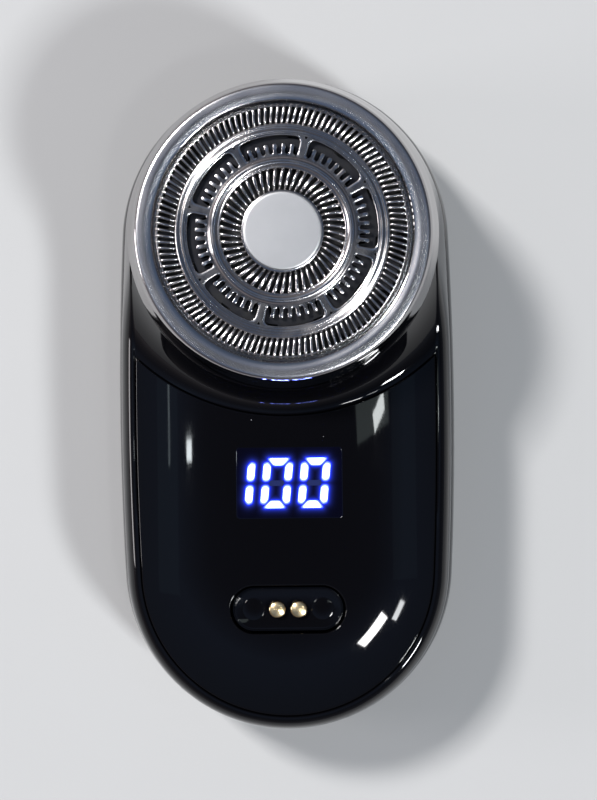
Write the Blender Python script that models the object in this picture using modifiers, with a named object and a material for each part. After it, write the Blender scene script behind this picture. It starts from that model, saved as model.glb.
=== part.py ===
"""Pocket rotary electric shaver, lying on its back with its shaving head facing up.

Frame: metres, +Z out of the shaving face, +Y towards the head end, origin at the middle of the flat back.
"""

import math

import bmesh
import bpy

MM = 0.001

# Outline of the body, seen along Z: long side arcs that run into round ends.
HALF_WIDTH = 25.0 * MM
END_RADIUS = 24.4 * MM
END_CENTRE = 24.1 * MM
END_STEPS = 16
SIDE_STEPS = 4

# Levels, from the back to the front.
PARTING_Z = 15.0 * MM
PANEL_EDGE_Z = 21.1 * MM
PANEL_CROWN = 1.3 * MM
CLEARANCE = 0.3 * MM

# Head: everything in it is turned about this axis.
HEAD_Y = 23.7 * MM
WINDOW_COUNT = 8
WINDOW_ANGLE = math.radians(38.5)
BLADE_COUNT = 12

# Front panel: its upper edge is an arc about a point above the head's axis.
PANEL_INSET = 3.3 * MM
PANEL_ARC_Y = 29.6 * MM
PANEL_ARC_RADIUS = 31.5 * MM
PANEL_THICKNESS = 1.5 * MM
DECK_TOP_Z = 19.3 * MM
DECK_THICKNESS = 1.2 * MM

# Display and charging recess.
DISPLAY_Y = -12.0 * MM
DISPLAY_SIZE = (15.4 * MM, 9.0 * MM, 3.0 * MM)
SOCKET_Y = -29.8 * MM
SOCKET_LENGTH = 16.0 * MM
SOCKET_WIDTH = 6.3 * MM
SOCKET_TOP_Z = 21.2 * MM
CONTACT_X = 1.55 * MM
MAGNET_X = 5.0 * MM

# Power button, in a shallow dish in the back.
BUTTON_Y = 4.0 * MM
BUTTON_RADIUS = 5.0 * MM
DISH_RADIUS = 8.0 * MM

SCREW_PLACES = [(-18.4 * MM, -26.0 * MM), (18.4 * MM, -26.0 * MM), (-18.4 * MM, 0.0), (18.4 * MM, 0.0)]


# Scene and materials

def clear_scene():
    for obj in list(bpy.data.objects):
        bpy.data.objects.remove(obj, do_unlink=True)


def new_collection(name):
    collection = bpy.data.collections.new(name)
    bpy.context.scene.collection.children.link(collection)
    return collection


def material(name, colour, roughness, metallic=0.0):
    made = bpy.data.materials.new(name)
    made.use_nodes = True
    shader = made.node_tree.nodes["Principled BSDF"]
    shader.inputs["Base Color"].default_value = (*colour, 1.0)
    shader.inputs["Roughness"].default_value = roughness
    shader.inputs["Metallic"].default_value = metallic
    return made


clear_scene()
PARTS = new_collection("electric_shaver")
CUTTERS = new_collection("cutters")
CUTTERS.hide_render = True

BLACK_GLOSS = material("black_gloss", (0.006, 0.006, 0.008), 0.08)
BLACK_PLASTIC = material("black_plastic", (0.02, 0.02, 0.022), 0.45)
CHROME = material("plated_chrome", (0.72, 0.71, 0.74), 0.15, 1.0)
STEEL = material("net_steel", (0.62, 0.61, 0.62), 0.22, 1.0)
SATIN = material("satin_steel", (0.72, 0.71, 0.76), 0.4, 1.0)
GOLD = material("gold_plate", (0.86, 0.6, 0.28), 0.25, 1.0)
RUBBER = material("seal_rubber", (0.03, 0.03, 0.03), 0.8)
BOARD = material("circuit_board", (0.02, 0.13, 0.06), 0.5)
CELL = material("cell_foil", (0.5, 0.5, 0.52), 0.4, 0.6)
FOAM = material("pad_foam", (0.08, 0.08, 0.08), 0.95)
LIGHT = material("display_face", (0.03, 0.04, 0.09), 0.3)
BRASS = material("bearing_brass", (0.7, 0.52, 0.25), 0.35, 1.0)
NYLON = material("drive_nylon", (0.75, 0.75, 0.72), 0.5)


# Shapes

def add_object(name, mesh, surface, collection=PARTS):
    obj = bpy.data.objects.new(name, mesh)
    collection.objects.link(obj)
    if surface:
        mesh.materials.append(surface)
    if collection is CUTTERS:
        obj.display_type = "WIRE"
        obj.hide_render = True
    return obj


def smooth(obj):
    obj.data.shade_smooth()
    obj.data.set_sharp_from_angle(angle=math.radians(35))
    return obj


def arc_points(centre_x, centre_y, radius, start, end, steps):
    """Points along an arc, without its last one."""
    turns = [start + (end - start) * step / steps for step in range(steps)]
    return [(centre_x + radius * math.cos(turn), centre_y + radius * math.sin(turn)) for turn in turns]


def outline(inset):
    """The body's outline moved in by inset, anticlockwise: side, head end, side, foot end."""
    bulge = HALF_WIDTH - END_RADIUS
    side_radius = HALF_WIDTH + (END_CENTRE ** 2 - bulge ** 2) / (2 * bulge)
    side_x = side_radius - HALF_WIDTH
    lean = math.atan2(END_CENTRE, side_x)
    side = side_radius - inset
    end = END_RADIUS - inset
    return (
        arc_points(-side_x, 0, side, -lean, lean, SIDE_STEPS)
        + arc_points(0, END_CENTRE, end, lean, math.pi - lean, END_STEPS)
        + arc_points(side_x, 0, side, math.pi - lean, math.pi + lean, SIDE_STEPS)
        + arc_points(0, -END_CENTRE, end, math.pi + lean, 2 * math.pi - lean, END_STEPS)
    )


def level_ring(inset, height):
    return [(x, y, height) for x, y in outline(inset)]


def loft(name, rings, surface, collection=PARTS, closed=False):
    """Joins rings of equal length; the ends are capped, or the last ring meets the first when closed."""
    mesh = bpy.data.meshes.new(name)
    shape = bmesh.new()
    loops = [[shape.verts.new(point) for point in ring] for ring in rings]
    count = len(rings[0])
    pairs = list(zip(loops, loops[1:]))
    if closed:
        pairs.append((loops[-1], loops[0]))
    for lower, upper in pairs:
        for here in range(count):
            after = (here + 1) % count
            shape.faces.new((lower[here], lower[after], upper[after], upper[here]))
    if not closed:
        shape.faces.new(list(reversed(loops[0])))
        shape.faces.new(loops[-1])
    shape.to_mesh(mesh)
    shape.free()
    return smooth(add_object(name, mesh, surface, collection))


def prism(name, points, low, high, surface=None, collection=CUTTERS):
    """A flat outline carried straight up."""
    rings = [[(x, y, height) for x, y in points] for height in (low, high)]
    return loft(name, rings, surface, collection)


def turned(name, profile, centre, surface, collection=PARTS, steps=48, closed=False):
    """A profile of (radius, height) points, top to bottom on its outer side, turned about a vertical axis."""
    mesh = bpy.data.meshes.new(name)
    points = [(radius, 0.0, height) for radius, height in profile]
    edges = [(here, here + 1) for here in range(len(points) - 1)]
    if closed:
        edges.append((len(points) - 1, 0))
    mesh.from_pydata(points, edges, [])
    obj = add_object(name, mesh, surface, collection)
    obj.location = (centre[0], centre[1], 0)
    screw = obj.modifiers.new("turn", "SCREW")
    screw.axis = "Z"
    screw.steps = steps
    screw.render_steps = steps
    screw.use_merge_vertices = True
    screw.merge_threshold = 0.00001
    screw.use_smooth_shade = True
    return obj


def disc(name, radius, low, high, centre, surface, collection=PARTS, steps=24):
    profile = [(0, high), (radius, high), (radius, low), (0, low)]
    return turned(name, profile, centre, surface, collection, steps)


def washer(name, inner, outer, low, high, centre, surface, steps=24):
    profile = [(inner, high), (outer, high), (outer, low), (inner, low)]
    return turned(name, profile, centre, surface, steps=steps, closed=True)


def drill(name, radius, low, high, centre, steps=20):
    return disc(name, radius, low, high, centre, None, CUTTERS, steps)


def block(name, size, centre, surface, collection=PARTS, bevel=0.0):
    mesh = bpy.data.meshes.new(name)
    shape = bmesh.new()
    bmesh.ops.create_cube(shape, size=1.0)
    bmesh.ops.scale(shape, vec=size, verts=shape.verts)
    shape.to_mesh(mesh)
    shape.free()
    obj = add_object(name, mesh, surface, collection)
    obj.location = centre
    if bevel:
        round_edges = obj.modifiers.new("edges", "BEVEL")
        round_edges.width = bevel
        round_edges.segments = 2
    return obj


def combine(target, tools, operation):
    """Cuts or joins several tools in one exact step."""
    group = bpy.data.collections.new(f"{target.name}_{operation.lower()}")
    CUTTERS.children.link(group)
    for tool in tools:
        CUTTERS.objects.unlink(tool)
        group.objects.link(tool)
    boolean = target.modifiers.new(group.name, "BOOLEAN")
    boolean.operation = operation
    boolean.operand_type = "COLLECTION"
    boolean.collection = group


def cut(target, *tools):
    combine(target, tools, "DIFFERENCE")


def join(target, *tools):
    combine(target, tools, "UNION")


def stadium(length, width, centre_y, steps=8):
    """Two half circles joined by straight sides, long along X."""
    radius = width / 2
    middle = length / 2 - radius
    right = arc_points(middle, centre_y, radius, -math.pi / 2, math.pi / 2, steps)
    left = arc_points(-middle, centre_y, radius, math.pi / 2, 1.5 * math.pi, steps)
    return right + [(middle, centre_y + radius)] + left + [(-middle, centre_y - radius)]


def coil(name, radius, wire, turns, low, high, centre, surface):
    """A compression spring as one wire along a helix."""
    steps = 12 * turns
    curve = bpy.data.curves.new(name, "CURVE")
    curve.dimensions = "3D"
    curve.bevel_depth = wire
    curve.bevel_resolution = 1
    curve.use_fill_caps = True
    spline = curve.splines.new("POLY")
    spline.points.add(steps)
    for step, point in enumerate(spline.points):
        turn = 2 * math.pi * turns * step / steps
        height = low + wire + (high - low - 2 * wire) * step / steps
        point.co = (radius * math.cos(turn), radius * math.sin(turn), height, 1)
    obj = bpy.data.objects.new(name, curve)
    PARTS.objects.link(obj)
    obj.location = (centre[0], centre[1], 0)
    curve.materials.append(surface)
    return obj


# Body surfaces

def crown_height(inset):
    """The front panel rises towards its middle."""
    share = min(1.0, (inset - PANEL_INSET) / (HALF_WIDTH - PANEL_INSET))
    return PANEL_EDGE_Z + PANEL_CROWN * (1 - (1 - share) ** 2.2)


# Casing

def make_rear_shell():
    outer = [(8.0, 0.0), (5.0, 0.45), (2.7, 1.8), (1.1, 4.2), (0.3, 7.0), (0.0, 10.0), (0.15, 12.5),
             (0.7, 15.0)]
    inner = [(2.3, 15.0), (1.8, 12.4), (1.7, 9.6), (2.2, 6.0), (3.6, 3.4), (5.6, 2.1), (8.4, 1.7)]
    rings = [level_ring(inset * MM, height * MM) for inset, height in outer + inner]
    shell = loft("rear_shell", rings, BLACK_GLOSS)
    back = (0, BUTTON_Y)
    bosses = [drill(f"boss_{index}", 2.3 * MM, 1.5 * MM, PARTING_Z - 0.2 * MM, place, 14)
              for index, place in enumerate(SCREW_PLACES)]
    join(shell, *bosses)
    bores = [drill(f"boss_bore_{index}", 1.1 * MM, 7.5 * MM, PARTING_Z + 1 * MM, place, 10)
             for index, place in enumerate(SCREW_PLACES)]
    hole_radius = BUTTON_RADIUS + 0.4 * MM
    dish = [(0, 3 * MM), (hole_radius, 3 * MM), (hole_radius, 0.5 * MM), (DISH_RADIUS, 0.5 * MM),
            (DISH_RADIUS + 0.3 * MM, -1 * MM), (0, -1 * MM)]
    cut(shell, turned("button_dish", dish, (0, BUTTON_Y), None, CUTTERS), *bores)


def make_neck():
    """The tall part under the head: the body's outline, held inside a cove turned about the head's axis."""
    sides = [(1.2, 15.9), (1.0, 17.4), (1.1, 19.4), (1.4, 22.2), (1.85, 25.2), (2.3, 27.3)]
    rings = [level_ring(inset * MM, height * MM) for inset, height in sides]
    neck = loft("neck", rings, None, CUTTERS)
    cove = [(0, 28.5), (22.2, 28.5), (22.35, 27.0), (22.8, 25.2), (23.7, 23.5), (25.0, 22.1), (26.8, 21.3),
            (27.2, 20.5), (27.2, 15.5), (0, 15.5)]
    cove = [(radius * MM, height * MM) for radius, height in cove]
    combine(neck, [turned("cove", cove, (0, HEAD_Y), None, CUTTERS, 72)], "INTERSECT")
    return neck


def make_front_housing():
    low_sides = [(0.78, 15.3), (1.05, 17.2), (1.6, 19.0), (2.2, 20.3), (2.9, 21.1)]
    rings = [level_ring(inset * MM, height * MM) for inset, height in low_sides]
    housing = loft("front_housing", rings, BLACK_GLOSS)
    join(housing, make_neck())

    pocket = prism("panel_pocket", outline(PANEL_INSET - CLEARANCE), DECK_TOP_Z, 40 * MM)
    cut(pocket, drill("pocket_arc", PANEL_ARC_RADIUS - CLEARANCE, 0, 50 * MM, (0, PANEL_ARC_Y), 72))
    inside = prism("inside", outline(2.9 * MM), 0, DECK_TOP_Z - DECK_THICKNESS)
    well = [(0, 40), (20.9, 40), (20.9, 26.3), (3.9, 26.3), (3.9, 24.8), (17.5, 24.8), (17.5, 17.6),
            (0, 17.6)]
    well = [(radius * MM, height * MM) for radius, height in well]
    window = (DISPLAY_SIZE[0] + 0.8 * MM, DISPLAY_SIZE[1] + 0.8 * MM, 6 * MM)
    slot = stadium(SOCKET_LENGTH + 2 * CLEARANCE, SOCKET_WIDTH + 2 * CLEARANCE, SOCKET_Y)
    tools = [
        pocket,
        inside,
        turned("head_well", well, (0, HEAD_Y), None, CUTTERS, 48),
        block("display_window", window, (0, DISPLAY_Y, DECK_TOP_Z), None, CUTTERS),
        prism("socket_slot", slot, 10 * MM, 22 * MM),
    ]
    for index, place in enumerate(SCREW_PLACES):
        cut(inside, drill(f"lug_{index}", 4.0 * MM, 15.6 * MM, 17.2 * MM, place, 14))
        tools.append(drill(f"lug_bore_{index}", 1.1 * MM, 14 * MM, 17.9 * MM, place, 10))
        tools.append(drill(f"driver_bore_{index}", 2.0 * MM, 17.7 * MM, 20 * MM, place, 12))
    cut(housing, *tools)


def make_front_panel():
    insets = [3.3, 4.2, 6.0, 9.0, 13.0, 18.0]
    insets = [inset * MM for inset in insets]
    bottom = [level_ring(inset, crown_height(inset) - PANEL_THICKNESS) for inset in reversed(insets)]
    top = [level_ring(inset, crown_height(inset)) for inset in insets]
    panel = loft("front_panel", bottom + top, BLACK_GLOSS)
    cut(panel, drill("panel_arc", PANEL_ARC_RADIUS, 0, 50 * MM, (0, PANEL_ARC_Y), 72))
    opening = stadium(SOCKET_LENGTH + 2 * CLEARANCE, SOCKET_WIDTH + 2 * CLEARANCE, SOCKET_Y)
    cut(panel, prism("panel_opening", opening, 10 * MM, 30 * MM))


def make_gasket():
    rings = [level_ring(inset * MM, height * MM)
             for inset, height in ((2.6, 13.2), (2.6, 15.0), (3.3, 15.0), (3.3, 13.2))]
    loft("housing_gasket", rings, RUBBER, closed=True)


def make_screws():
    profile = [(0, 18.6), (1.2, 18.6), (1.6, 18.2), (1.6, 17.5), (0.8, 17.5), (0.8, 8.4), (0, 7.9)]
    profile = [(radius * MM, height * MM) for radius, height in profile]
    for index, place in enumerate(SCREW_PLACES, start=1):
        screw = turned(f"case_screw_{index}", profile, place, STEEL, steps=12)
        slot_size = (2.0 * MM, 0.4 * MM, 0.8 * MM)
        cut(screw, block(f"screw_slot_{index}", slot_size, (*place, 18.6 * MM), None, CUTTERS))


# Charging recess and display

def make_charging_parts():
    socket = prism("charge_socket", stadium(SOCKET_LENGTH, SOCKET_WIDTH, SOCKET_Y), 18.0 * MM, SOCKET_TOP_Z,
                   BLACK_GLOSS, PARTS)
    holes = []
    for side, name in ((-1, "left"), (1, "right")):
        contact_place = (side * CONTACT_X, SOCKET_Y)
        magnet_place = (side * MAGNET_X, SOCKET_Y)
        holes.append(drill(f"contact_hole_{name}", 0.9 * MM, 10 * MM, 30 * MM, contact_place, 12))
        holes.append(drill(f"magnet_hole_{name}", 1.95 * MM, 10 * MM, 30 * MM, magnet_place, 20))
        dome = [(0, 22.25), (0.5, 22.2), (0.9, 22.0), (1.15, 21.75), (1.2, 21.5), (0.6, 21.5), (0.6, 16.7),
                (0, 16.7)]
        dome = [(radius * MM, height * MM) for radius, height in dome]
        turned(f"charge_contact_{name}", dome, contact_place, GOLD, steps=16)
        disc(f"charge_magnet_{name}", 1.65 * MM, 18.0 * MM, SOCKET_TOP_Z, magnet_place, STEEL, steps=20)
    cut(socket, *holes)


def make_electronics():
    block("display_module", DISPLAY_SIZE, (0, DISPLAY_Y, 19.0 * MM), LIGHT, bevel=0.2 * MM)
    block("main_board", (27 * MM, 44 * MM, 1 * MM), (0, -14 * MM, 15.9 * MM), BOARD)
    block("battery_cell", (30 * MM, 32 * MM, 8 * MM), (0, -22 * MM, 7.4 * MM), CELL, bevel=1.2 * MM)
    block("battery_pad", (22 * MM, 26 * MM, 1.1 * MM), (0, -22 * MM, 2.55 * MM), FOAM)
    block("switch_board", (12 * MM, 10 * MM, 1 * MM), (0, BUTTON_Y, 6.7 * MM), BOARD)
    block("tact_switch", (6 * MM, 6 * MM, 1.6 * MM), (0, BUTTON_Y, 5.1 * MM), BLACK_PLASTIC, bevel=0.2 * MM)


def make_button():
    back = (0, BUTTON_Y)
    profile = [(0, 3.5), (7.0, 3.5), (7.0, 2.9), (5.0, 2.9), (5.0, 0.6), (4.7, 0.3), (0, 0.3)]
    profile = [(radius * MM, height * MM) for radius, height in profile]
    turned("power_button", profile, back, BLACK_PLASTIC, steps=28)
    washer("button_seal", 5.8 * MM, 7.4 * MM, 2.0 * MM, 2.6 * MM, back, RUBBER)


# Drive

def make_motor():
    axis = (0, HEAD_Y)
    can = [(2.5, 18.9), (7.5, 18.9), (7.75, 18.6), (7.75, 2.9), (7.2, 2.9), (7.2, 18.3), (2.5, 18.3)]
    can = [(radius * MM, height * MM) for radius, height in can]
    turned("motor_can", can, axis, STEEL, steps=32, closed=True)
    washer("motor_end_cap", 1.1 * MM, 6.9 * MM, 3.1 * MM, 4.5 * MM, axis, BLACK_PLASTIC)
    washer("motor_bearing", 1.1 * MM, 2.2 * MM, 17.9 * MM, 19.7 * MM, axis, BRASS, 24)
    washer("motor_rotor", 1.1 * MM, 6.2 * MM, 5.6 * MM, 16.4 * MM, axis, STEEL)
    disc("motor_shaft", 0.75 * MM, 2.5 * MM, 27.9 * MM, axis, STEEL, steps=20)
    bracket = block("motor_bracket", (26 * MM, 20 * MM, 1.2 * MM), (0, HEAD_Y, 21.0 * MM), BLACK_PLASTIC,
                    bevel=0.3 * MM)
    cut(bracket, drill("bracket_hole", 3.0 * MM, 18 * MM, 24 * MM, axis))
    washer("shaft_seal", 1.1 * MM, 3.6 * MM, 24.9 * MM, 26.2 * MM, axis, RUBBER)


def make_coupling():
    axis = (0, HEAD_Y)
    profile = [(0, 30.2), (1.9, 30.2), (2.2, 29.9), (2.2, 27.2), (3.4, 27.2), (3.4, 26.7), (1.05, 26.7),
               (1.05, 28.3), (0, 28.3)]
    profile = [(radius * MM, height * MM) for radius, height in profile]
    turned("drive_coupling", profile, axis, NYLON, steps=16)
    coil("drive_spring", 2.85 * MM, 0.18 * MM, 2, 27.5 * MM, 29.0 * MM, axis, STEEL)


# Head

def make_collar():
    profile = [(20.7, 32.7), (21.2, 31.0), (21.7, 29.2), (22.05, 27.9), (22.0, 27.6), (19.3, 27.6),
               (19.3, 32.1), (18.15, 32.1), (18.15, 32.75), (20.1, 33.1), (20.45, 33.05)]
    profile = [(radius * MM, height * MM) for radius, height in profile]
    turned("head_collar", profile, (0, HEAD_Y), CHROME, steps=48, closed=True)
    ring = [(20.1 * MM + 0.35 * MM * math.cos(turn), 26.95 * MM + 0.35 * MM * math.sin(turn))
            for turn in (-2 * math.pi * step / 6 for step in range(6))]
    turned("head_seal", ring, (0, HEAD_Y), RUBBER, steps=32, closed=True)


def make_retainer():
    axis = (0, HEAD_Y)
    plate = washer("net_retainer", 4.9 * MM, 19.0 * MM, 28.4 * MM, 29.0 * MM, axis, BLACK_PLASTIC, 36)
    holes = []
    for index in range(6):
        turn = math.pi * index / 3
        place = (11.5 * MM * math.cos(turn), HEAD_Y + 11.5 * MM * math.sin(turn))
        holes.append(drill(f"hair_hole_{index}", 3.2 * MM, 20 * MM, 35 * MM, place, 10))
    cut(plate, *holes)


def sector(inner, outer, middle, width, steps=3):
    """A piece of a ring about the head's axis."""
    start = middle - width / 2
    end = middle + width / 2
    far = arc_points(0, HEAD_Y, outer, start, end, steps)
    near = arc_points(0, HEAD_Y, inner, end, start, steps)
    corner_out = (outer * math.cos(end), HEAD_Y + outer * math.sin(end))
    corner_in = (inner * math.cos(start), HEAD_Y + inner * math.sin(start))
    return far + [corner_out] + near + [corner_in]


def make_net():
    profile = [(0, 33.2), (5.8, 33.2), (5.8, 33.5), (8.9, 33.5), (9.4, 33.8), (10.2, 33.8), (10.7, 33.5),
               (17.7, 33.5), (17.95, 33.2), (17.95, 31.8), (18.8, 31.8), (18.8, 31.4), (17.5, 31.4),
               (17.5, 33.0), (0, 32.9)]
    profile = [(radius * MM, height * MM) for radius, height in profile]
    net = turned("shaving_net", profile, (0, HEAD_Y), STEEL, steps=48)
    windows = []
    for index in range(WINDOW_COUNT):
        middle = math.radians(7.5) + 2 * math.pi * index / WINDOW_COUNT
        shape = sector(11.0 * MM, 13.3 * MM, middle, WINDOW_ANGLE)
        windows.append(prism(f"window_{index}", shape, 32 * MM, 35 * MM))
    cut(net, *windows)
    cap = [(0, 33.9), (5.3, 33.9), (5.5, 33.75), (5.5, 33.5), (0, 33.5)]
    cap = [(radius * MM, height * MM) for radius, height in cap]
    turned("net_cap", cap, (0, HEAD_Y), SATIN, steps=32)


def make_cutter():
    axis = (0, HEAD_Y)
    profile = [(0, 32.0), (4.2, 32.0), (4.2, 30.9), (16.0, 30.9), (16.0, 30.2), (4.2, 30.2), (4.2, 29.3),
               (2.5, 29.3), (2.5, 31.2), (0, 31.2)]
    profile = [(radius * MM, height * MM) for radius, height in profile]
    turned("cutter_carrier", profile, axis, NYLON, steps=24)
    points = []
    for index in range(BLADE_COUNT):
        start = 2 * math.pi * index / BLADE_COUNT
        width = math.pi / BLADE_COUNT
        for radius, share in ((17.1, 0.0), (17.1, 1.0), (13.0, 1.25), (13.0, 1.75)):
            turn = start + width * share
            points.append((radius * MM * math.cos(turn), HEAD_Y + radius * MM * math.sin(turn)))
    blade = prism("cutter_blade", points, 31.2 * MM, 32.5 * MM, STEEL, PARTS)
    cut(blade, drill("blade_middle", 9.5 * MM, 30 * MM, 34 * MM, axis, 36))


make_rear_shell()
make_front_housing()
make_front_panel()
make_gasket()
make_screws()
make_charging_parts()
make_electronics()
make_button()
make_motor()
make_coupling()
make_collar()
make_retainer()
make_net()
make_cutter()
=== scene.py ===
import math

import bmesh
import bpy
import numpy as np
from mathutils import Matrix, Vector


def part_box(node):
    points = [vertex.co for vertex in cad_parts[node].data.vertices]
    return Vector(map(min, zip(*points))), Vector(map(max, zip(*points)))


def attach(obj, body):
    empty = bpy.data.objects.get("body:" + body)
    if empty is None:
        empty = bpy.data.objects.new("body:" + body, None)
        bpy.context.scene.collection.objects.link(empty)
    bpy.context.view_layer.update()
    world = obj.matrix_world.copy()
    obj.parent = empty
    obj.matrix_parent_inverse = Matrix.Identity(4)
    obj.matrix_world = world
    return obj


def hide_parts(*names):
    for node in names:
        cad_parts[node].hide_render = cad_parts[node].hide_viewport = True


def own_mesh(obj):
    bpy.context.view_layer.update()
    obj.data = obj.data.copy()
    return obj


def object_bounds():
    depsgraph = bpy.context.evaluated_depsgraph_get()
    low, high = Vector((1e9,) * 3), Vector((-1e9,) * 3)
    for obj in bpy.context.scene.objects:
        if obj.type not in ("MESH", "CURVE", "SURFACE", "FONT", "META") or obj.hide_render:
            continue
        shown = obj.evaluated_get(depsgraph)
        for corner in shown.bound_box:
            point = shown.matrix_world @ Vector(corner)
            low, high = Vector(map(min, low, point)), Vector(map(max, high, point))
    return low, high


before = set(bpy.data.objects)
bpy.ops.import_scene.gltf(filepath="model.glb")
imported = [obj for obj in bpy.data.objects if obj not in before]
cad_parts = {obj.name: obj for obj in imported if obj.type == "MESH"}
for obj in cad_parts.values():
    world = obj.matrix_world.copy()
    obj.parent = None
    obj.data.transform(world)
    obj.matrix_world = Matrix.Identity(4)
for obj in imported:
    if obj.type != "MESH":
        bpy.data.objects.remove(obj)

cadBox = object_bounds()
mm = 0.001
tau = 2 * math.pi

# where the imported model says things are
collarLow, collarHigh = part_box("head_collar")
socketLow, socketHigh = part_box("charge_socket")
displayLow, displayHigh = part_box("display_module")
buttonLow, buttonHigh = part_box("power_button")
headY = (collarLow[1] + collarHigh[1]) / 2
socketY = (socketLow[1] + socketHigh[1]) / 2
displayY = (displayLow[1] + displayHigh[1]) / 2
buttonY = (buttonLow[1] + buttonHigh[1]) / 2
print("frame loaded, head axis at y", round(headY / mm, 2), "mm")


# meshes from numpy grids

def gridQuads(rows, columns, closeRows=False, closeColumns=True):
    # each quad joins a row to the next; climbing rows with anticlockwise columns face outwards
    row = np.arange(rows if closeRows else rows - 1)
    column = np.arange(columns if closeColumns else columns - 1)
    row, column = np.meshgrid(row, column, indexing="ij")
    nextRow = (row + 1) % rows
    nextColumn = (column + 1) % columns
    corners = [row * columns + column, row * columns + nextColumn,
               nextRow * columns + nextColumn, nextRow * columns + column]
    return np.stack(corners, -1).reshape(-1, 4)


def signedVolume(points, quads):
    # the sum of the tetrahedra between the origin and each quad's two triangles
    a, b, c, d = (points[quads[:, corner]] for corner in range(4))
    return (np.einsum("ij,ij->", a, np.cross(b, c)) + np.einsum("ij,ij->", a, np.cross(c, d))) / 6


def pieceFrom(name, points, quads, finish, sharp=35, weld=False, flip="auto"):
    # one mesh object at the origin; a closed surface that comes out inside out is turned round
    points = np.asarray(points, dtype=float).reshape(-1, 3)
    quads = np.asarray(quads, dtype=np.int64).reshape(-1, 4)
    middle = points.mean(axis=0)
    if flip is True or (flip == "auto" and signedVolume(points - middle, quads) < 0):
        quads = quads[:, ::-1]
    mesh = bpy.data.meshes.new(name)
    mesh.vertices.add(len(points))
    mesh.vertices.foreach_set("co", points.ravel())
    mesh.loops.add(quads.size)
    mesh.loops.foreach_set("vertex_index", quads.ravel().astype(np.int32))
    mesh.polygons.add(len(quads))
    mesh.polygons.foreach_set("loop_start", np.arange(0, quads.size, 4, dtype=np.int32))
    mesh.update(calc_edges=True)
    if weld:
        shape = bmesh.new()
        shape.from_mesh(mesh)
        bmesh.ops.remove_doubles(shape, verts=shape.verts, dist=4e-7)
        shape.to_mesh(mesh)
        shape.free()
    mesh.validate()
    mesh.shade_smooth()
    mesh.set_sharp_from_angle(angle=math.radians(sharp))
    obj = bpy.data.objects.new(name, mesh)
    bpy.context.scene.collection.objects.link(obj)
    mesh.materials.append(finish)
    return obj


def patchQuads(quads, count, size):
    # several separate grids of the same rows and columns, numbered one after another
    return (quads[None] + (np.arange(count) * size)[:, None, None]).reshape(-1, 4)


def rounded(points, radius, steps=5):
    # every corner of a polyline becomes a short curve that starts and ends radius away from it
    points = np.asarray(points, dtype=float)
    before, corner, after = points[:-2], points[1:-1], points[2:]
    toBefore = before - corner
    toAfter = after - corner
    lengthBefore = np.linalg.norm(toBefore, axis=1, keepdims=True)
    lengthAfter = np.linalg.norm(toAfter, axis=1, keepdims=True)
    start = corner + toBefore / lengthBefore * np.minimum(radius, lengthBefore * 0.45)
    end = corner + toAfter / lengthAfter * np.minimum(radius, lengthAfter * 0.45)
    t = np.linspace(0, 1, steps)[None, :, None]
    curve = (1 - t) ** 2 * start[:, None] + 2 * t * (1 - t) * corner[:, None] + t ** 2 * end[:, None]
    return np.concatenate([points[:1], curve.reshape(-1, points.shape[1]), points[-1:]])


def roundedLoop(points, radius, steps=5):
    # the same for a closed outline
    points = np.asarray(points, dtype=float)
    wrapped = np.concatenate([points[-1:], points, points[:1]])
    return rounded(wrapped, radius, steps)[1:-1]


def turnedPiece(name, profile, finish, steps=192, centre=(0.0, None), closed=False, sharp=35):
    # a profile of (radius, height) carried round a vertical axis
    profile = np.asarray(profile, dtype=float)
    turn = np.linspace(0, tau, steps, endpoint=False)
    centreY = headY if centre[1] is None else centre[1]
    x = centre[0] + profile[:, :1] * np.cos(turn)
    y = centreY + profile[:, :1] * np.sin(turn)
    z = np.broadcast_to(profile[:, 1:], x.shape)
    quads = gridQuads(len(profile), steps, closeRows=closed)
    return pieceFrom(name, np.stack([x, y, z], -1), quads, finish, sharp, weld=not closed)


# materials

class NodeDesk:
    # short words for building one material's nodes
    def __init__(self, name):
        self.material = bpy.data.materials.new(name)
        self.material.use_nodes = True
        self.tree = self.material.node_tree
        self.shader = self.tree.nodes["Principled BSDF"]
        self.place = self.node("ShaderNodeTexCoord").outputs["Object"]

    def node(self, kind, inputs=None, **settings):
        made = self.tree.nodes.new(kind)
        for key, value in settings.items():
            setattr(made, key, value)
        for key, value in (inputs or {}).items():
            self.feed(made.inputs[key], value)
        return made

    def feed(self, socket, value):
        if isinstance(value, bpy.types.NodeSocket):
            self.tree.links.new(value, socket)
        else:
            socket.default_value = value

    def set(self, **values):
        for key, value in values.items():
            self.feed(self.shader.inputs[key.replace("_", " ")], value)

    def noise(self, scale, detail=4.0, roughness=0.55, place=None):
        made = self.node("ShaderNodeTexNoise", {"Vector": place or self.place, "Scale": scale,
                                                "Detail": detail, "Roughness": roughness})
        return made.outputs["Fac"]

    def ramp(self, value, low, high, fromLow=0.0, fromHigh=1.0):
        made = self.node("ShaderNodeMapRange", {"Value": value, "From Min": fromLow, "From Max": fromHigh,
                                                "To Min": low, "To Max": high})
        return made.outputs["Result"]

    def maths(self, operation, first, second=0.0):
        made = self.node("ShaderNodeMath", operation=operation)
        self.feed(made.inputs[0], first)
        self.feed(made.inputs[1], second)
        return made.outputs[0]

    def colours(self, value, low, high):
        made = self.node("ShaderNodeMix", data_type="RGBA")
        self.feed(made.inputs[0], value)
        self.feed(made.inputs[6], (*low, 1.0))
        self.feed(made.inputs[7], (*high, 1.0))
        return made.outputs[2]

    def stretched(self, scale, turn=(0, 0, 0), centre=(0, 0, 0)):
        made = self.node("ShaderNodeMapping", {"Vector": self.place, "Scale": scale, "Rotation": turn,
                                               "Location": centre})
        return made.outputs["Vector"]

    def bump(self, height, distance, strength=1.0, under=None):
        made = self.node("ShaderNodeBump", {"Height": height, "Distance": distance, "Strength": strength})
        if under:
            self.feed(made.inputs["Normal"], under)
        return made.outputs["Normal"]


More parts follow.
